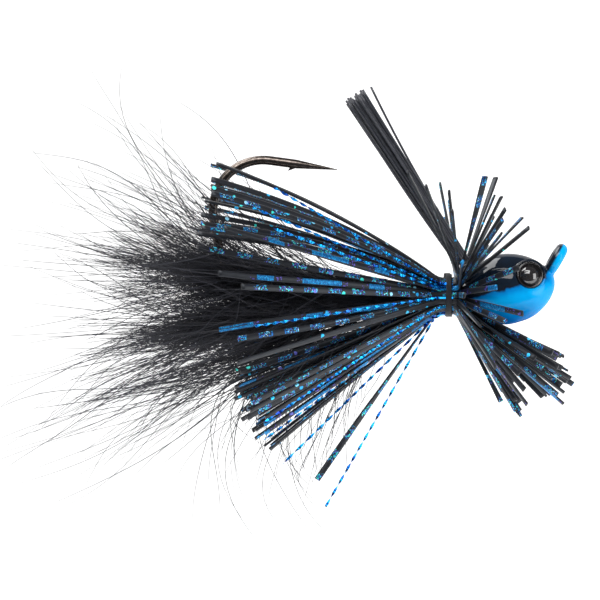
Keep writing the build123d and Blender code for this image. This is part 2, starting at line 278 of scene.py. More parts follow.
def sweep(paths, sides, ups, profile, scales=None):
    """Closed bars along paths (H, N, 3). profile is (K, 2) across sides and ups."""
    count, stations, _ = paths.shape
    ring = len(profile)
    scales = np.ones((count, stations)) if scales is None else scales
    verts = (
        paths[:, :, None]
        + profile[None, None, :, :1] * sides[:, :, None] * scales[:, :, None, None]
        + profile[None, None, :, 1:] * ups[:, :, None] * scales[:, :, None, None]
    )
    index = np.arange(count * stations * ring).reshape(count, stations, ring)
    here, there = index[:, :-1], index[:, 1:]
    quads = np.stack(
        [here, np.roll(here, -1, axis=2), np.roll(there, -1, axis=2), there], axis=-1
    ).reshape(-1, 4)
    faces = quads.tolist()
    faces += index[:, 0, ::-1].tolist()
    faces += index[:, -1].tolist()
    return verts.reshape(-1, 3), faces


def frames(paths, guide=(0.0, 1.0, 0.0)):
    """Side and up vectors square to each path, from a guide that no path runs along."""
    along = tangents(paths)
    sides = unit(np.cross(along, np.broadcast_to(guide, along.shape)))
    return sides, np.cross(sides, along)


def circle(radius, sides):
    angles = np.arange(sides) * 2 * math.pi / sides
    return radius * np.stack([np.cos(angles), np.sin(angles)], 1)


def piece(name, verts, faces, material, stands_for, body="jig", smooth=True):
    """One mesh object from collar-frame millimetres, riding on a body."""
    mesh = bpy.data.meshes.new(name)
    mesh.from_pydata(place(verts).tolist(), [], faces)
    mesh.validate()
    mesh.update()
    if smooth:
        mesh.shade_smooth()
    mesh.materials.append(material)
    thing = bpy.data.objects.new(name, mesh)
    bpy.context.scene.collection.objects.link(thing)
    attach(thing, body)
    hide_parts(*stands_for)
    return thing


def point_values(thing, name, values):
    """A number at each point of the mesh, for its material to read."""
    attribute = thing.data.attributes.new(name, "FLOAT", "POINT")
    attribute.data.foreach_set("value", np.asarray(values, np.float32).ravel())


# ---------------------------------------------------------------- material helpers
class Material:
    """A node tree that is built one node at a time."""

    def __init__(self, name):
        self.material = bpy.data.materials.new(name)
        self.material.use_nodes = True
        self.tree = self.material.node_tree
        self.shader = self.tree.nodes["Principled BSDF"]

    def node(self, kind, inputs=None, **settings):
        made = self.tree.nodes.new("ShaderNode" + kind)
        for key, value in settings.items():
            setattr(made, key, value)
        for key, value in (inputs or {}).items():
            self.feed(made.inputs[key], value)
        return made

    def feed(self, socket, value):
        if isinstance(value, bpy.types.NodeSocket):
            self.tree.links.new(value, socket)
        else:
            socket.default_value = value

    def surface(self, **inputs):
        for key, value in inputs.items():
            self.feed(self.shader.inputs[key.replace("_", " ")], value)

    def math(self, operation, a, b=0.0, c=0.0):
        return self.node("Math", {0: a, 1: b, 2: c}, operation=operation).outputs[0]

    def step(self, value, low, high):
        """0 below low, 1 above high, smooth between."""
        made = self.node(
            "MapRange",
            {"Value": value, "From Min": low, "From Max": high},
            interpolation_type="SMOOTHSTEP",
        )
        return made.outputs["Result"]

    def mix(self, factor, a, b):
        made = self.node("Mix", data_type="RGBA")
        self.feed(made.inputs["Factor"], factor)
        self.feed(made.inputs["A"], a)
        self.feed(made.inputs["B"], b)
        return made.outputs["Result"]

    def position(self):
        """Object position in millimetres."""
        where = self.node("TexCoord").outputs["Object"]
        made = self.node("VectorMath", {0: where, "Scale": 1 / MM}, operation="SCALE")
        return made.outputs[0]

    def value(self, name):
        return self.node("Attribute", attribute_name=name).outputs["Fac"]

    def noise(self, scale, detail=2.0, vector=None):
        where = vector or self.position()
        inputs = {"Vector": where, "Scale": scale, "Detail": detail, "Roughness": 0.5}
        return self.node("TexNoise", inputs).outputs["Fac"]

    def bump(self, height, strength, distance_mm):
        made = self.node(
            "Bump", {"Height": height, "Strength": strength, "Distance": distance_mm * MM}
        )
        return made.outputs["Normal"]


def grey(value, tint=(1.0, 1.0, 1.0)):
    return (value * tint[0], value * tint[1], value * tint[2], 1.0)


COOL = (0.93, 0.97, 1.25)


def hook_material():
    m = Material("black_nickel")
    streaks = m.noise(3.0, 4.0)
    tone = m.mix(m.step(streaks, 0.35, 0.7), (0.075, 0.062, 0.054, 1), (0.16, 0.135, 0.12, 1))
    rough = m.math("MULTIPLY_ADD", m.noise(9.0, 3.0), 0.16, 0.13)
    m.surface(Base_Color=tone, Metallic=1.0, Roughness=rough)
    m.surface(Normal=m.bump(m.noise(14.0, 3.0), 0.12, 0.05))
    return m.material


def paint_material():
    """Bright blue belly and nose, black sprayed back, under gloss clear coat, with painted shade
    darkening the blue on the underside.
    """
    m = Material("two_tone_paint")
    x, _, z = m.node("SeparateXYZ", {0: m.position()}).outputs[:3]
    ragged = m.math("MULTIPLY_ADD", m.noise(0.9, 3.0), 0.9, -0.45)
    border = m.math("MULTIPLY_ADD", x, BORDER_SLOPE, BORDER_OFFSET)
    above = m.math("ADD", m.math("SUBTRACT", z, border), ragged)
    behind = m.math("ADD", m.math("SUBTRACT", NOSE_BLUE_X, x), ragged)
    depth = m.math("MINIMUM", above, behind)
    tilt = math.radians(TIE_ANGLE)
    off_tie = m.math(
        "SUBTRACT", m.math("MULTIPLY", z, math.cos(tilt)), m.math("MULTIPLY", x, math.sin(tilt))
    )
    tie_back = m.math("MULTIPLY", m.step(off_tie, 0.0, 0.3), m.step(z, -2.6, -1.7))
    black = m.math("MAXIMUM", m.step(depth, -0.05, 0.30), tie_back)
    haze = m.step(depth, -1.3, 0.4)
    blue = m.mix(m.noise(0.35, 2.0), (0.0, 0.30, 0.76, 1), (0.0, 0.46, 0.90, 1))
    # Painted shade: below these heights the blue is darker, on the underside of the head
    belly = m.step(z, UNDERSIDE_SHADE_LOW, UNDERSIDE_SHADE_HIGH)
    blue = m.mix(belly, (0.0, 0.17, 0.60, 1), blue)
    blue = m.mix(m.math("MULTIPLY", haze, 0.75), blue, (0.0, 0.09, 0.42, 1))
    dark = m.mix(m.noise(0.8, 3.0), (0.006, 0.007, 0.010, 1), (0.004, 0.014, 0.032, 1))
    grain = m.noise(16.0, 2.0)
    m.surface(
        Base_Color=m.mix(black, blue, dark),
        Roughness=m.math("MULTIPLY_ADD", grain, 0.12, 0.22),
        Specular_IOR_Level=0.0,
        Coat_Weight=m.math("MULTIPLY_ADD", black, 0.45, 0.35),
        Coat_Roughness=0.03,
        Coat_IOR=1.5,
        Normal=m.bump(m.noise(1.6, 3.0), 0.16, 0.12),
    )
    m.surface(Coat_Normal=m.bump(m.noise(0.7, 2.0), 0.10, 0.15))
    return m.material


def eye_material():
    m = Material("eye_resin")
    mottle = m.noise(0.8, 2.0)
    m.surface(
        Base_Color=m.mix(mottle, (0.006, 0.006, 0.008, 1), (0.016, 0.014, 0.015, 1)),
        Roughness=m.math("MULTIPLY_ADD", m.noise(12.0, 2.0), 0.04, 0.04),
        Specular_IOR_Level=0.7,
        Coat_Weight=1.0,
        Coat_Roughness=0.02,
    )
    return m.material


def foil_disc_material():
    m = Material("eye_foil")
    m.surface(
        Base_Color=m.mix(m.noise(9.0, 3.0), grey(0.03), grey(0.10, COOL)),
        Metallic=0.8,
        Roughness=0.3,
    )
    return m.material


def thread_material():
    m = Material("waxed_thread")
    lay = m.node(
        "TexWave",
        {"Vector": m.position(), "Scale": 6.0, "Distortion": 2.0, "Detail": 2.0},
        bands_direction="DIAGONAL",
    ).outputs["Fac"]
    m.surface(
        Base_Color=m.mix(lay, grey(0.006, COOL), grey(0.022, COOL)),
        Roughness=0.5,
        Specular_IOR_Level=0.3,
        Normal=m.bump(lay, 0.5, 0.03),
    )
    return m.material


def nylon_material():
    m = Material("guard_nylon")
    streak = m.noise(2.2, 3.0)
    m.surface(
        Base_Color=m.mix(streak, grey(0.018, COOL), grey(0.06, COOL)),
        Roughness=m.math("MULTIPLY_ADD", m.noise(7.0, 2.0), 0.15, 0.25),
        Specular_IOR_Level=0.7,
        Normal=m.bump(m.noise(6.0, 3.0), 0.15, 0.03),
    )
    return m.material


def hair_material():
    m = Material("black_hair")
    tone = m.value("tone")
    m.surface(
        Base_Color=m.mix(tone, grey(0.012, COOL), grey(0.048, COOL)),
        Roughness=m.math("MULTIPLY_ADD", m.noise(4.0, 2.0), 0.2, 0.4),
        Specular_IOR_Level=0.3,
    )
    return m.material


def glitter(m, cell_mm, density, seed_shift):
    """Mask, brightness and hue of flakes laid along and across a strand."""
    seed = m.math("ADD", m.value("seed"), seed_shift)
    where = m.node(
        "CombineXYZ", {"X": m.value("along"), "Y": m.value("across"), "Z": seed}
    ).outputs[0]
    cells = m.node("TexVoronoi", {"Vector": where, "Scale": 1 / cell_mm, "Randomness": 0.9})
    colour = m.node("SeparateColor", {0: cells.outputs["Color"]})
    kept = m.math("GREATER_THAN", colour.outputs[0], 1.0 - density)
    disc = m.math("LESS_THAN", cells.outputs["Distance"], 0.5)
    return m.math("MULTIPLY", kept, disc), colour.outputs[1], colour.outputs[2]


def silicone_base(m):
    mottled = m.noise(1.1, 3.0)
    return m.mix(mottled, grey(0.006, COOL), grey(0.017, COOL))


def flake_colour(m, bright, hue):
    """Deep blue to cyan by brightness, a few of them violet or teal."""
    ramp = m.node("ValToRGB", {0: bright})
    stops = ramp.color_ramp.elements
    stops[0].position, stops[0].color = 0.0, (0.003, 0.03, 0.25, 1)
    stops[1].position, stops[1].color = 1.0, (0.55, 0.85, 1.0, 1)
    middle = stops.new(0.55)
    middle.color = (0.01, 0.27, 0.80, 1)
    high = stops.new(0.85)
    high.color = (0.04, 0.62, 0.98, 1)
    violet = m.math("GREATER_THAN", hue, 0.9)
    teal = m.math("LESS_THAN", hue, 0.14)
    colour = m.mix(m.math("MULTIPLY", violet, 0.8), ramp.outputs["Color"], (0.16, 0.05, 0.5, 1))
    return m.mix(m.math("MULTIPLY", teal, 0.8), colour, (0.05, 0.8, 0.6, 1))


def strand_material(kind):
    """Silicone strand: charcoal with stray flakes, and a printed pattern by kind."""
    m = Material("silicone_" + kind)
    base = silicone_base(m)
    along = m.math("ADD", m.value("along"), m.math("MULTIPLY", m.value("seed"), 3.3))

    stray, stray_bright, stray_hue = glitter(m, 0.5, 0.035, 5.0)
    stray_bright = m.math("MULTIPLY_ADD", stray_bright, 0.3, 0.66)
    colour = m.mix(stray, base, flake_colour(m, stray_bright, stray_hue))
    metal = stray
    if kind == "scale":
        phase = m.math("PINGPONG", along, 1.7)
        patch = m.math("LESS_THAN", phase, 0.92)
        inside = m.math("LESS_THAN", m.math("ABSOLUTE", m.value("across")), 0.29)
        flakes, bright, hue = glitter(m, 0.15, 0.85, 0.0)
        shown = m.math("MULTIPLY", m.math("MULTIPLY", patch, inside), flakes)
        colour = m.mix(shown, colour, flake_colour(m, bright, hue))
        metal = m.math("MAXIMUM", metal, shown)
    if kind == "foil":
        where = m.node("CombineXYZ", {"X": along}).outputs[0]
        phase = m.noise(0.17, 0.0, where)
        bar = m.math("GREATER_THAN", phase, 0.53)
        inside = m.math("LESS_THAN", m.math("ABSOLUTE", m.value("across")), 0.30)
        shown = m.math("MULTIPLY", bar, inside)
        _, bright, _ = glitter(m, 0.10, 1.0, 2.0)
        foil = m.mix(m.math("POWER", bright, 2.0), (0.001, 0.06, 0.22, 1), (0.02, 0.38, 0.78, 1))
        colour = m.mix(shown, colour, foil)
        edge = m.math("COMPARE", phase, 0.49, 0.03)
        flakes, bright, hue = glitter(m, 0.16, 0.3, 9.0)
        specks = m.math("MULTIPLY", m.math("MULTIPLY", edge, inside), flakes)
        colour = m.mix(specks, colour, (0.12, 0.08, 0.5, 1))
        metal = m.math("MAXIMUM", metal, shown)
    m.surface(
        Base_Color=colour,
        Metallic=m.math("MULTIPLY", metal, 0.4),
        Roughness=m.math("MULTIPLY_ADD", m.noise(6.0, 2.0), 0.16, 0.34),
        Specular_IOR_Level=0.36,
        Specular_Tint=grey(1.0, (0.85, 0.92, 1.0)),
        Normal=m.bump(m.noise(5.0, 3.0), 0.12, 0.04),
    )
    return m.material


def tinsel_material():
    m = Material("blue_tinsel")
    where = m.node("CombineXYZ", {"X": m.value("along"), "Z": m.value("seed")}).outputs[0]
    patch = m.noise(0.9, 2.0, where)
    colour = m.mix(m.step(patch, 0.40, 0.56), (0.002, 0.09, 0.45, 1), (0.01, 0.42, 0.95, 1))
    violet = m.step(m.noise(0.5, 1.0, where), 0.6, 0.7)
    colour = m.mix(m.math("MULTIPLY", violet, 0.6), colour, (0.03, 0.02, 0.4, 1))
    m.surface(
        Base_Color=colour,
        Metallic=0.9,
        Roughness=0.18,
        Normal=m.bump(m.noise(9.0, 2.0), 0.2, 0.03),
    )
    return m.material


# ---------------------------------------------------------------- hook
def hook_line():
    """Middle of the wire from the ring's foot to the start of the needle."""
    tilt = math.radians(TIE_ANGLE)
    foot = TIE[[0, 2]] - TIE_RING_R * np.array([math.cos(tilt), math.sin(tilt)])
    trim = TIE_BEND_R * math.tan(tilt / 2)
    leg = foot[1] / math.sin(tilt) - trim
    corner_x = foot[0] - foot[1] / math.tan(tilt)
    steps = [
        (leg,),
        (TIE_BEND_R, -TIE_ANGLE),
        (corner_x - trim - SHANK_END_X,),
        (LOWER_BEND_R, -LOWER_BEND_TURN),
        (SIDE_RUN,),
        (UPPER_BEND_R, -(180.0 - LOWER_BEND_TURN + POINT_SLOPE)),
        (POINT_RUN,),
    ]
    return walk(foot, TIE_ANGLE + 180.0, steps, 0.25)


# ---------------------------------------------------------------- painted head
def torus_mesh(centre, axis, ring_r, wire_r):
    """Closed ring in collar-frame millimetres."""
    around, across = TORUS_SIDES
    axis = unit(np.asarray(axis, float))
    first = unit(np.cross(axis, [0.0, 1.0, 0.05]))
    second = np.cross(axis, first)
    angles = np.arange(around) * 2 * math.pi / around
    spokes = np.cos(angles)[:, None] * first + np.sin(angles)[:, None] * second
    section = circle(wire_r, across)
    verts = (
        np.asarray(centre)
        + spokes[:, None] * (ring_r + section[None, :, :1])
        + axis * section[None, :, 1:]
    ).reshape(-1, 3)
    index = np.arange(around * across).reshape(around, across)
    ahead = np.roll(index, -1, axis=0)
    quads = np.stack([index, np.roll(index, -1, 1), np.roll(ahead, -1, 1), ahead], -1)
    return verts, quads.reshape(-1, 4).tolist()


def add_to(bm, verts, faces):
    made = [bm.verts.new(v) for v in verts]
    for face in faces:
        bm.faces.new([made[k] for k in face])


def eye_normal(side):
    return unit(EYE_AXIS * [1.0, side, 1.0])


def eye_middle(side):
    return EYE * [1.0, side, 1.0]


def make_head():
    """The casting under its paint: edges softened, a fillet up the line tie, rims at the eyes."""
    bm = bmesh.new()
    bm.from_mesh(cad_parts["head_casting"].data)
    bm.transform(Matrix.Scale(1 / MM, 4))
    bm.transform(Matrix.Translation(TIE))

    flat, _ = hook_line()
    inside = flat[flat[:, 0] > SHANK_IN_HEAD_X]
    core = resample(np.stack([inside[:, 0], np.zeros(len(inside)), inside[:, 1]], 1), 70)
    sides, ups = frames(core[None])
    rise = np.clip((core[:, 2] - COAT_FROM_Z) / COAT_OVER, 0, 1)
    coat = (CAST_WIRE_R + (PAINTED_WIRE_R - CAST_WIRE_R) * rise)[None]
    add_to(bm, *sweep(core[None], sides, ups, circle(1.0, 24), coat))
    tilt = math.radians(TIE_ANGLE)
    add_to(bm, *torus_mesh(TIE, (math.sin(tilt), 0, -math.cos(tilt)), TIE_RING_R, PAINTED_WIRE_R))
    for side in (-1, 1):
        add_to(bm, *torus_mesh(eye_middle(side), eye_normal(side), SOCKET_R + RIM_OUT, RIM_R))

    mesh = bpy.data.meshes.new("painted_head")
    bm.to_mesh(mesh)
    bm.free()
    head = bpy.data.objects.new("painted_head", mesh)
    bpy.context.scene.collection.objects.link(head)
    remesh = head.modifiers.new("skin", "REMESH")
    remesh.mode = "VOXEL"
    remesh.voxel_size = SKIN_VOXEL
    soften = head.modifiers.new("soften", "SMOOTH")
    soften.factor, soften.iterations = 0.5, SKIN_SMOOTHING
    bpy.context.view_layer.update()
    evaluated = head.evaluated_get(bpy.context.evaluated_depsgraph_get())
    skin = bpy.data.meshes.new_from_object(evaluated)
    head.modifiers.clear()
    head.data = skin
    skin.transform(Matrix.Scale(MM, 4) @ Matrix.Translation(-TIE))
    skin.shade_smooth()
    skin.materials.clear()
    skin.materials.append(paint_material())
    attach(head, "jig")
    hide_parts("head_casting")


def turned(centre, normal, outline):
    """Closed shape turned round a line: outline is (radius, height) from the rim to the middle."""
    sides = DOME_SIDES
    first = unit(np.cross(normal, [0.0, 0.1, 1.0]))
    second = np.cross(normal, first)
    rings = []
    for radius, height in outline:
        spot = circle(radius, sides)
        rings.append(centre + spot[:, :1] * first + spot[:, 1:] * second + normal * height)
    index = np.arange(len(outline) * sides).reshape(len(outline), sides)
    here, there = index[:-1], index[1:]
    faces = np.stack([here, np.roll(here, -1, 1), np.roll(there, -1, 1), there], -1)
    faces = faces.reshape(-1, 4).tolist() + [index[-1].tolist(), index[0, ::-1].tolist()]
    return np.concatenate(rings), faces


def make_eyes():
    """Gloss black domes, each with a thin moulded lip where it meets the paint."""
    lip_r = DOME_R - EYE_LIP
    ball = (lip_r**2 + DOME_H**2) / (2 * DOME_H)
    reach = math.asin(lip_r / ball)
    outline = [(DOME_R, 0.0)]
    for angle in np.linspace(0, math.pi, 9):
        crown = EYE_LIP_H + EYE_LIP_CROWN * math.sin(angle)
        outline.append((DOME_R - EYE_LIP / 2 * (1 - math.cos(angle)), crown))
    for angle in np.linspace(0.93 * reach, 0.02, 20):
        outline.append((ball * math.sin(angle), ball * math.cos(angle) - (ball - DOME_H)))
    material = eye_material()
    for name, side in (("near", -1), ("far", 1)):
        normal = eye_normal(side)
        seat = eye_middle(side) - normal * (SOCKET_DEPTH - FOIL_T)
        verts, faces = turned(seat, normal, outline)
        piece("eye_dome_" + name + "_resin", verts, faces, material,
              stands_for=["eye_dome_" + name])


# ---------------------------------------------------------------- weed guard
def hexagon_spots(rings):
    """Places of round fibres packed in a hexagon, in pitches."""
    spots = [(0.0, 0.0)]
    for ring in range(1, rings + 1):
        for corner in range(6):
            start, step = math.radians(60 * corner), math.radians(60 * corner + 120)
            for k in range(ring):
                u = ring * math.cos(start) + k * math.cos(step)
                v = ring * math.sin(start) + k * math.sin(step)
                spots.append((u, v))
    return np.array(spots)


def make_guard():
    """Brush of round fibres, a little splayed, each with its own slight bow."""
    angle = math.radians(GUARD_ANGLE)
    up = np.array([-math.cos(angle), 0.0, math.sin(angle)])
    across = np.array([0.0, 1.0, 0.0])
    ahead = np.cross(across, up)
    spots = hexagon_spots(FIBRE_RINGS)
    count = len(spots)
    t = np.linspace(0, 1, 26)
    length = GUARD_LENGTH - FIBRE_LENGTH_STEP * (np.arange(count) * 7 % 5) / 2
    length -= random.uniform(0.0, FIBRE_UNEVEN, count)
    reach = GUARD_RISE + t[None] * (length[:, None] - GUARD_RISE)
    pitch = FIBRE_PITCH_ROOT + (FIBRE_PITCH_TIP - FIBRE_PITCH_ROOT) * t**0.8
    bow = random.normal(0, FIBRE_BOW, (count, 1, 2)) * np.sin(math.pi * t)[None, :, None]
    lean = random.normal(0, FIBRE_LEAN, (count, 1, 2)) * (t**2)[None, :, None]
    offset = spots[:, None] * pitch[None, :, None] + bow + lean
    offset[STRAY_FIBRE, :, 1] += STRAY_FIBRE_LEAN * t**2
    paths = (
        GUARD_FOOT
        + reach[:, :, None] * up
        + offset[:, :, :1] * across
        + offset[:, :, 1:] * ahead
    )
    sides, ups = frames(paths)
    verts, faces = sweep(paths, sides, ups, circle(FIBRE_R, ROD_SIDES))
    piece("guard_brush", verts, faces, nylon_material(),
          stands_for=["guard_fibres"], body="guard")


# ---------------------------------------------------------------- skirt
def scatter(index, step):
    """Even scatter between -1 and 1, as the CAD model has it."""
    return 2 * ((index * step) % 1.0) - 1


def strand_azimuth(layer, index):
    _, count, gap, *_rest = LAYERS[layer]
    return gap + index * (360 - 2 * gap) / (count - 1)


def companions(layer):
    """Places between the strands of the CAD model: over and under the shank, not beside it."""
    _, count, *_rest = LAYERS[layer]
    for quarter in range(4 * (count - 1)):
        index = quarter / 4
        sideways = abs(math.sin(math.radians(strand_azimuth(layer, index))))
        limit = COMPANION_LIMIT if index % 1 == 0.5 else COMPANION_THREE_LIMIT
        if index % 1 and sideways < limit:
            yield index


def clump_pull(azimuth):
    """Sideways pull at a strand's rear tip, towards the clump that it lies in."""
    pull = 0.0
    for middle, reach, strength in CLUMPS:
        off = (middle - azimuth) / reach
        if abs(off) < CLUMP_REACH:
            pull += strength * off * math.exp(1 - abs(off) ** 1.5)
    return pull


def strand_runs(layer, index):
    """Azimuth, and the steps of the front and rear ends of one strand.

    A fractional index gives a companion between two strands of the CAD model.
    """
    radius, _, _, rear_tilt, front_tilt, front_rise, front_length = LAYERS[layer]
    azimuth = strand_azimuth(layer, index)
    upward = (1 + math.cos(math.radians(azimuth))) / 2
    sideways = math.sin(math.radians(azimuth)) ** 4
    stray = COMPANION_WANDER if index % 1 else 1.0
    wander = REAR_TILT_SCATTER * scatter(index, 0.618)
    wander += REAR_TILT_FINE_SCATTER * scatter(index, 0.37)
    flare = rear_tilt + REAR_FLARE_TOP * upward + stray * wander
    curl = (REAR_FLARE_TOP + REAR_CURL_TOP) * upward - REAR_STRAIGHT_EXTRA
    length = REAR_LENGTH + REAR_LENGTH_TOP * upward
    length += REAR_LENGTH_SCATTER * scatter(index, 0.71)
    if (layer, index) in STRAY_TILT:
        flare += STRAY_TILT[layer, index]
        length -= STRAY_SHORTER
    straight = abs(curl) < STRAIGHT_BELOW
    rear_run = (length,) if straight else (length / abs(math.radians(curl)), curl)
    front = front_tilt + front_rise * upward**2
    front += FRONT_SIDE_RISE * sideways + stray * FRONT_TILT_SCATTER * scatter(index, 0.55)
    lean, longer = FORE_LEAN.get((layer, index), (0.0, 0.0))
    front += lean
    front_length += FRONT_LENGTH_SCATTER * scatter(index, 0.83) - FRONT_SIDE_SHORTER * sideways
    front_length += longer
    if index % 1:
        front_length -= COMPANION_SIDE_SHORTER * sideways
    middle = radius + STRAND_T / 2
    rear_steps = [(REAR_BEND_CENTRE_R - middle, -flare), rear_run]
    front_steps = [(FRONT_BEND_CENTRE_R - middle, front), (front_length,)]
    return azimuth, middle, front_steps, rear_steps


def full_line(middle, front_steps, rear_steps):
    """Flat line from the front tip through the binding to the rear tip."""
    back, _ = walk((-BINDING_HALF, middle), 180.0, rear_steps)
    if not front_steps:
        return np.concatenate([[[BINDING_HALF, middle]], back])
    ahead, _ = walk((BINDING_HALF, middle), 0.0, front_steps)
    return np.concatenate([ahead[::-1], back])


def lay_strand(flat, azimuth, stations, sway, twist, phase, pull=0.0):
    """Path, side and up vectors of one flat strand, swaying and twisting towards its ends."""
    path = radial(resample(flat, stations), azimuth)
    a = math.radians(azimuth)
    tangential = np.array([0.0, math.cos(a), math.sin(a)])
    back = np.clip(-(path[:, 0] + BACK_FROM) / BACK_OVER, 0, 1)
    fore = np.clip((np.linalg.norm(path, axis=1) - FORE_FROM) / FORE_OVER, 0, 1)
    fore *= path[:, 0] > FORE_BACK_X
    drift = sway * back**1.5 * np.sin(2.2 * back + phase) + 0.5 * sway * fore
    drift -= pull * back**1.2
    path = path + drift[:, None] * tangential
    along = tangents(path[None])[0]
    side = unit(tangential - (along @ tangential)[:, None] * along)
    up = np.cross(along, side)
    turn = twist * (back**1.5 + FORE_TWIST * fore)
    side, up = (
        np.cos(turn)[:, None] * side + np.sin(turn)[:, None] * up,
        np.cos(turn)[:, None] * up - np.sin(turn)[:, None] * side,
    )
    return path, side, up


def flat_profile(width, thickness):
    """Flat bar with rounded edges, points given anticlockwise."""
    w, t = width / 2, thickness / 2
    edge = min(t, 0.12)
    return np.array([
        (w, -t + edge * 0.6), (w, t - edge * 0.6), (w - edge, t), (0, t * 1.04), (-w + edge, t),
        (-w, t - edge * 0.6), (-w, -t + edge * 0.6), (-w + edge, -t), (0, -t * 1.04), (w - edge, -t),
    ])


def strand_values(thing, paths, profile, seeds):
    """Length along, place across and seed at every point, for the printed patterns."""
    count, stations, _ = paths.shape
    gaps = np.linalg.norm(np.diff(paths, axis=1), axis=2)
    along = np.concatenate([np.zeros((count, 1)), np.cumsum(gaps, axis=1)], axis=1)
    shape = (count, stations, len(profile))
    point_values(thing, "along", np.broadcast_to(along[:, :, None], shape))
    point_values(thing, "across", np.broadcast_to(profile[:, 0], shape))
    point_values(thing, "seed", np.broadcast_to(np.asarray(seeds)[:, None, None], shape))


def make_strands():
    profile = flat_profile(STRAND_W, STRAND_T)
    materials = {kind: strand_material(kind) for kind in ("plain", "scale", "foil")}
    for layer, (_, count, *_rest) in LAYERS.items():
        groups = {}
        slots = [(index, KINDS[index % len(KINDS)]) for index in range(count)]
        slots += [(k, COMPANION_KINDS[int(4 * k) % len(COMPANION_KINDS)]) for k in companions(layer)]
        for index, kind in slots:
            azimuth, middle, front_steps, rear_steps = strand_runs(layer, index)
            flat = full_line(middle, front_steps, rear_steps)
            sway, twist, phase = random.normal(0, [SWAY, TWIST, 1.0])
            twist = STRAY_TWIST if (layer, index) in STRAY_TILT else twist
            sway = np.clip(sway, -SWAY_LIMIT, SWAY_LIMIT)
            pull = clump_pull(azimuth)
            laid = lay_strand(flat, azimuth, STRAND_STATIONS, sway, twist, phase, pull)
            groups.setdefault(kind, []).append((*laid, random.uniform(0, 9)))
        for kind, laid in groups.items():
            paths, sides, ups = (np.stack([row[k] for row in laid]) for k in range(3))
            verts, faces = sweep(paths, sides, ups, profile)
            thing = piece("silicone_" + kind + "_" + layer, verts, faces, materials[kind],
                          stands_for=["strands_" + kind + "_" + layer])
            strand_values(thing, paths, profile, [row[3] for row in laid])


def make_flash():
    """Flat tinsel, twisted from just behind the binding to its tip."""
    w, t = TINSEL_W / 2, TINSEL_HALF_T
    profile = np.array([(w, -t), (w, t), (-w, t), (-w, -t)])
    material = tinsel_material()
    run = np.arange(TINSEL_STATIONS) / TINSEL_STATIONS
    strands = list(FLASH_STRANDS)
    for azimuth, tilt, length in FLASH_STRANDS:
        if math.cos(math.radians(azimuth)) > PARTNER_OVER_COSINE:
            for shift in TINSEL_PARTNERS:
                strands.append((azimuth + shift, tilt + PARTNER_TILT, length - PARTNER_SHORTER))
    for name, wanted in (("near", lambda az: az < 180), ("far", lambda az: az >= 180)):
        rows = []
        for azimuth, tilt, length in strands:
            if not wanted(azimuth):
                continue
            middle = FLASH_RADIUS + FLASH_T / 2
            flat = full_line(middle, None, [(REAR_BEND_CENTRE_R - middle, -tilt), (length,)])
            sway = random.uniform(-TINSEL_SWAY, TINSEL_SWAY)
            path, side, up = lay_strand(flat, azimuth, TINSEL_STATIONS, sway, 0.0, 0.5)
            started = np.clip((run - TINSEL_TWIST_FROM) / TINSEL_TWIST_FROM, 0, 1)
            turn = started * run * length / TINSEL_HALF_TURN * math.pi
            turn += TINSEL_UNEVEN * np.sin(run * 9 + azimuth)
            wound = np.cos(turn)[:, None] * side + np.sin(turn)[:, None] * up
            rows.append((path, wound, np.cross(tangents(path[None])[0], wound), azimuth / 30))
        paths, sides, ups = (np.stack([row[k] for row in rows]) for k in range(3))
        verts, faces = sweep(paths, sides, ups, profile)
        thing = piece("tinsel_" + name, verts, faces, material,
                      stands_for=["flash_" + name], smooth=False)
        strand_values(thing, paths, profile, [row[3] for row in rows])


# ---------------------------------------------------------------- thread
def make_binding():
    """Thread wound over the skirt in two layers, the outer one crossing a little."""
    rows = []
    for radius, turns, lean in THREAD_LAYERS:
        t = np.linspace(0, 1, 240)
        angle = t * turns * 2 * math.pi
        x = THREAD_HALF_WIDTH * (2 * t - 1) + lean * np.sin(angle + 1.0)
        uneven = radius + THREAD_UNEVEN * np.sin(angle * 3.1)
        rows.append(np.stack([x, uneven * np.sin(angle), uneven * np.cos(angle)], 1))
    paths = np.stack(rows)
    sides, ups = frames(paths, (1.0, 0.0, 0.0))
    verts, faces = sweep(paths, sides, ups, circle(THREAD_R, ROD_SIDES))
    piece("skirt_thread", verts, faces, thread_material(),
          stands_for=["skirt_binding"])


# ---------------------------------------------------------------- hair
def cone_directions(azimuths, tilts):
    """Unit vectors tilted from the rearward direction, towards an azimuth."""
    a, t = np.radians(azimuths), np.radians(tilts)
    return np.stack([-np.cos(t), -np.sin(t) * np.sin(a), np.sin(t) * np.cos(a)], -1)


def curved_hairs(roots, azimuths, start_tilts, end_tilts, lengths, stations, wave):
    """Hairs whose tilt turns from start to end as they run, with a slight wave of their own."""
    count = len(roots)
    t = np.linspace(0, 1, stations)
    tilts = start_tilts[:, None] + (end_tilts - start_tilts)[:, None] * t[None] ** 0.9
    swing = random.normal(0, wave, (count, 1))
    phase = random.uniform(0, 6, (count, 1))
    tilts = tilts + swing * np.sin(t[None] * HAIR_WAVES + phase)
    turning = azimuths[:, None] + random.normal(0, HAIR_TURN, (count, 1)) * t[None]
    steps = cone_directions(turning, tilts) * (lengths / (stations - 1))[:, None, None]
    grown = np.cumsum(steps[:, :-1], axis=1)
    return roots[:, None] + np.concatenate([np.zeros((count, 1, 3)), grown], axis=1)


def keep_clear(paths, wire):
    """Hairs part at the hook's wire: a point inside it is pushed out to its surface."""
    flat_paths = paths.reshape(-1, 3)
    near = np.where(np.abs(flat_paths[:, 1]) < WIRE_R + WIRE_SEARCH)[0]
    gaps = flat_paths[near, None] - wire[None]
    distance = np.linalg.norm(gaps, axis=2)
    closest = distance.argmin(axis=1)
    rows = np.arange(len(near))
    depth = distance[rows, closest]
    push = np.clip(WIRE_R + WIRE_CLEAR - depth, 0, None) / np.maximum(depth, 1e-6)
    flat_paths[near] += gaps[rows, closest] * push[:, None]
    return flat_paths.reshape(paths.shape)


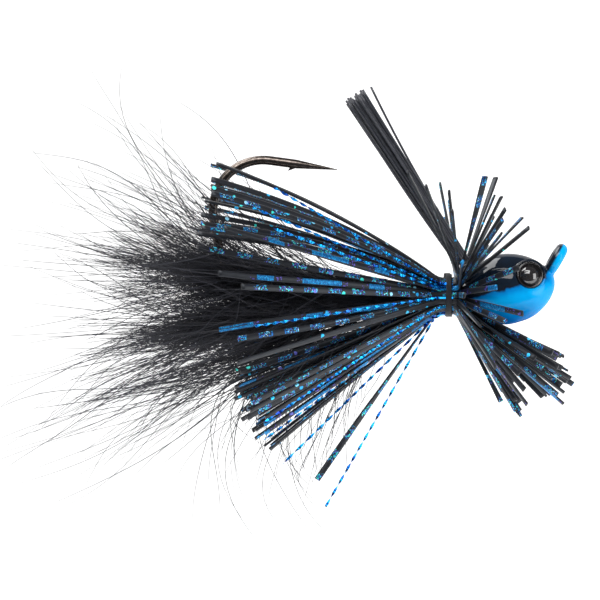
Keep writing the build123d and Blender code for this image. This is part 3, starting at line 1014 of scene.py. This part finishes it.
def bunch(azimuth, tilt, kind, share, flare, wire):
    """Paths and thickness of the hairs of one kind that grow along one stem of the tail."""
    stem = cone_directions(azimuth, tilt)
    start = np.array([PLUME_START_X, 0.0, 0.0]) + unit(stem * [0, 1, 1]) * PLUME_ROOT_OFFSET
    stations, lock = kind["stations"], kind["lock"]
    locks = round(kind["count"] * share / lock)
    count = locks * lock
    low, high = kind["along"]
    s = low + (high - low) * np.repeat(random.uniform(0, 1, locks) ** kind["bias"], lock)
    s = np.clip(s + random.normal(0, LOCK_SCATTER, count), low, high)
    outward = np.repeat(random.uniform(0, 1, locks) ** kind["flare_power"], lock)
    outward = flare * np.clip(outward + random.normal(0, FLARE_SCATTER, count), 0, 1)
    around = azimuth + np.repeat(random.normal(0, kind["around"], locks), lock)
    around += random.normal(0, HAIR_TURN, count)
    loose = (ROOT_SPREAD + s * kind["loose"])[:, None] * random.normal(0, 1, (count, 3))
    roots = start + s[:, None] * stem + loose * [1.0, 0.8, 0.8]
    roots[:, 1:] *= (1 - kind.get("inward", 0.0) * random.uniform(0, 1, count))[:, None]
    end_flare = FLARE_AT_ROOT + (1 - FLARE_AT_ROOT) * s / high
    start_tilts = tilt * STEM_SHARE + kind["start"] * outward
    end_tilts = tilt * STEM_SHARE + kind["end"] * outward * end_flare
    lengths = random.uniform(*kind["length"], count) * (1 - FLARED_SHORTER * outward)
    lengths *= 1 - SIDE_HAIR_SHORTER * np.abs(np.sin(np.radians(around)))
    lengths = np.minimum(lengths, (roots[:, 0] - TAIL_END_X) / np.cos(np.radians(start_tilts)))
    drooping = np.repeat(random.uniform(0, 1, locks) < kind.get("droop", 0.0), lock)
    start_tilts, end_tilts = (
        np.where(drooping, end_tilts, start_tilts),
        np.where(drooping, start_tilts, end_tilts),
    )
    paths = curved_hairs(roots, around, start_tilts, end_tilts, lengths, stations, kind["wave"])
    t = np.linspace(0, 1, stations)
    paths = paths.reshape(locks, lock, stations, 3)
    middle = paths.mean(axis=1, keepdims=True)
    paths = middle + (paths - middle) * (1 - kind["gather"] * t)[:, None]
    paths = paths.reshape(count, stations, 3)
    taper = 1 - HAIR_TIP_THINNER * t**2.5
    thick = random.uniform(*HAIR_THICKNESS, count)[:, None] * taper[None] * kind["radius"]
    return keep_clear(paths, wire), thick


def make_hair():
    """Five bunches: a dense soft underfur, locks in it, and long hairs that arch away from it."""
    material = hair_material()
    flat, _ = hook_line()
    wire = np.stack([flat[:, 0], np.zeros(len(flat)), flat[:, 1]], 1)
    for name, (azimuth, tilt) in PLUMES.items():
        verts, faces, tones = [], [], []
        kinds = HAIR_KINDS + ((LOOSE_HAIRS[name],) if name in LOOSE_HAIRS else ())
        for kind in kinds:
            share, flare = (1.0, 1.0) if kind in LOOSE_HAIRS.values() else BUNCHES[name]
            paths, thick = bunch(azimuth, tilt, kind, share, flare, wire)
            sides, ups = frames(paths, (0.03, 0.99, 0.12))
            more, quads = sweep(paths, sides, ups, circle(1.0, HAIR_SIDES), thick)
            start = sum(len(v) for v in verts)
            verts.append(more)
            faces += [[k + start for k in face] for face in quads]
            tone = random.uniform(0, 1, len(paths))
            shape = (*paths.shape[:2], HAIR_SIDES)
            tones.append(np.broadcast_to(tone[:, None, None], shape).ravel())
        thing = piece("hair_" + name, np.concatenate(verts), faces, material,
                      stands_for=["tail_plume_" + name])
        point_values(thing, "tone", np.concatenate(tones))


# ---------------------------------------------------------------- camera, floor and light
def aim(thing, target):
    thing.rotation_mode = "QUATERNION"
    thing.rotation_quaternion = (Vector(target) - thing.location).to_track_quat("-Z", "Y")


def make_camera():
    camera = bpy.data.objects.new("camera", bpy.data.cameras.new("camera"))
    bpy.context.scene.collection.objects.link(camera)
    camera.data.lens, camera.data.sensor_width = CAMERA_LENS, CAMERA_SENSOR
    distance = VIEW_WIDTH * CAMERA_LENS / CAMERA_SENSOR
    camera.location = place(VIEW_MIDDLE + [0.0, -distance, 0.0])
    aim(camera, place(VIEW_MIDDLE))
    camera.data.clip_start, camera.data.clip_end = 0.01, 10.0
    bpy.context.scene.camera = camera


def make_light(name, spot, target, size, watts):
    lamp = bpy.data.lights.new(name, "AREA")
    lamp.shape, lamp.energy = "RECTANGLE", watts
    lamp.size, lamp.size_y = size[0] * MM, size[1] * MM
    thing = bpy.data.objects.new(name, lamp)
    bpy.context.scene.collection.objects.link(thing)
    thing.location = place(spot)
    aim(thing, place(target))


def make_world():
    """White to look at, and dimmer as a light, so that dark gloss stays dark."""
    world = bpy.data.worlds.new("surround")
    bpy.context.scene.world = world
    world.use_nodes = True
    nodes, links = world.node_tree.nodes, world.node_tree.links
    seen = nodes.new("ShaderNodeLightPath").outputs["Is Camera Ray"]
    strength = nodes.new("ShaderNodeMapRange")
    strength.inputs["To Min"].default_value = WORLD_LIGHT
    strength.inputs["To Max"].default_value = 1.0
    links.new(seen, strength.inputs["Value"])
    links.new(strength.outputs["Result"], nodes["Background"].inputs["Strength"])
    nodes["Background"].inputs["Color"].default_value = (1, 1, 1, 1)


def make_studio():
    """White sweep below and behind, a soft surround and the soft boxes."""
    profile = [(FLOOR_FRONT_Y, FLOOR_Z)]
    for a in np.linspace(0, math.pi / 2, 14):
        y = SWEEP_BEND_Y + SWEEP_BEND_R * math.sin(a)
        profile.append((y, FLOOR_Z + SWEEP_BEND_R * (1 - math.cos(a))))
    profile.append((SWEEP_BEND_Y + SWEEP_BEND_R, SWEEP_TOP_Z))
    verts = [(x, y, z) for y, z in profile for x in (-SWEEP_HALF_WIDTH, SWEEP_HALF_WIDTH)]
    faces = [(2 * k, 2 * k + 1, 2 * k + 3, 2 * k + 2) for k in range(len(profile) - 1)]
    mesh = bpy.data.meshes.new("sweep")
    mesh.from_pydata(place(verts).tolist(), [], faces)
    mesh.shade_smooth()
    floor = bpy.data.objects.new("studio_sweep", mesh)
    bpy.context.scene.collection.objects.link(floor)
    m = Material("paper_sweep")
    m.surface(
        Base_Color=m.mix(m.noise(0.01, 2.0), grey(0.93), grey(0.95)),
        Roughness=0.9,
        Specular_IOR_Level=0.1,
        Emission_Color=grey(1.0),
        Emission_Strength=SWEEP_GLOW,
    )
    mesh.materials.append(m.material)
    make_world()
    for name, (offset, size, watts) in SOFT_BOXES.items():
        make_light(name, LIGHT_MIDDLE + offset, LIGHT_MIDDLE, size, watts)
    bpy.context.scene.view_settings.view_transform = "Standard"


def dress_cad_nodes():
    """Materials of the CAD nodes that show as they are."""
    dress = {
        "hook": hook_material(),
        "guard_butt": nylon_material(),
        "tail_binding": thread_material(),
        "eye_foil_near": foil_disc_material(),
    }
    dress["eye_foil_far"] = dress["eye_foil_near"]
    for name, material in dress.items():
        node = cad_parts[name]
        node.data.materials.clear()
        node.data.materials.append(material)
        node.data.shade_smooth()


make_camera()
make_studio()
dress_cad_nodes()
make_head()
make_eyes()
make_guard()
make_strands()
make_flash()
make_binding()
make_hair()
